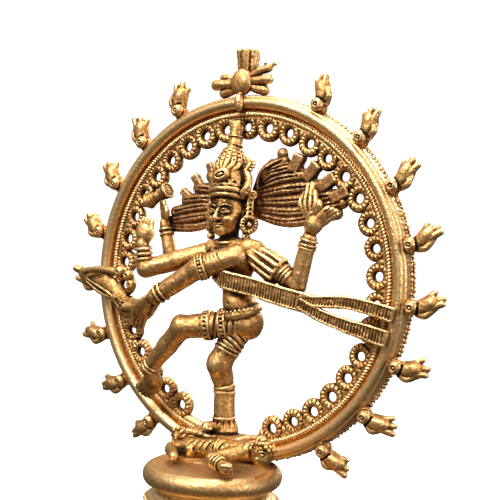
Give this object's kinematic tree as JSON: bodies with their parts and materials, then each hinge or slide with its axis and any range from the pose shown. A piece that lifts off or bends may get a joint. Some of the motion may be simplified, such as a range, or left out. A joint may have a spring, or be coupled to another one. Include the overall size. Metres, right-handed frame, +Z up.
{
  "type": "brass nataraja statue",
  "caption": "Cast brass dancing four-armed figure with a raised leg inside a flaming pierced ring, standing on a small prone figure and a round lotus pedestal.",
  "frame": {"origin": "centre of the pedestal's underside, where it stands", "axes": "+Z up, -Y the way the figure faces, +X to the viewer's right"},
  "size_m": [0.1362, 0.072, 0.171],
  "materials": {
    "ring_brass": "antique brass, bright on the ridges, brown in the hollows",
    "figure_brass": "antique brass, chased and burnished",
    "dark_brass": "dark antique brass with a red-brown patina",
    "demon_brass": "antique brass, darker in the hollows",
    "pedestal_brass": "antique brass, smooth and worn"
  },
  "bodies": {
    "root": {"arm_bands": "figure_brass", "belt": "figure_brass", "cobra": "figure_brass", "crossing_arm": "figure_brass", "crown": "figure_brass", "crown_ornaments": "figure_brass", "demon_arm": "demon_brass", "demon_body": "demon_brass", "demon_head": "demon_brass", "diadem": "figure_brass", "drum": "figure_brass", "drum_arm": "figure_brass", "ear_ornaments": "figure_brass", "figure_peg": "pedestal_brass", "finial_boss": "ring_brass", "finial_left": "ring_brass", "finial_right": "ring_brass", "finial_top": "ring_brass", "flame_arm": "ring_brass", "flame_left_1": "ring_brass", "flame_left_2": "ring_brass", "flame_left_3": "ring_brass", "flame_left_4": "ring_brass", "flame_left_5": "ring_brass", "flame_left_6": "ring_brass", "flame_left_7": "ring_brass", "flame_left_8": "ring_brass", "flame_right_1": "ring_brass", "flame_right_2": "ring_brass", "flame_right_3": "ring_brass", "flame_right_4": "ring_brass", "flame_right_5": "ring_brass", "flame_right_6": "ring_brass", "flame_right_7": "ring_brass", "flame_right_8": "ring_brass", "foot_slab": "figure_brass", "hair_fan_left": "dark_brass", "hair_fan_right": "dark_brass", "hand_flame": "figure_brass", "head": "figure_brass", "leg_bands": "figure_brass", "necklace": "figure_brass", "palm_arm": "figure_brass", "pedestal_cushion": "pedestal_brass", "pedestal_lotus": "pedestal_brass", "pedestal_neck": "pedestal_brass", "pedestal_plinth": "pedestal_brass", "raised_leg": "figure_brass", "rim_pendant": "ring_brass", "ring_bead_edge": "ring_brass", "ring_foot_boss": "ring_brass", "ring_inner_cord": "ring_brass", "ring_rim": "ring_brass", "ring_rosette_band": "ring_brass", "ring_tenon_left": "pedestal_brass", "ring_tenon_right": "pedestal_brass", "sash": "figure_brass", "shoulder_drape": "figure_brass", "standing_leg": "figure_brass", "torso": "figure_brass"}
  },
  "joints": []
}
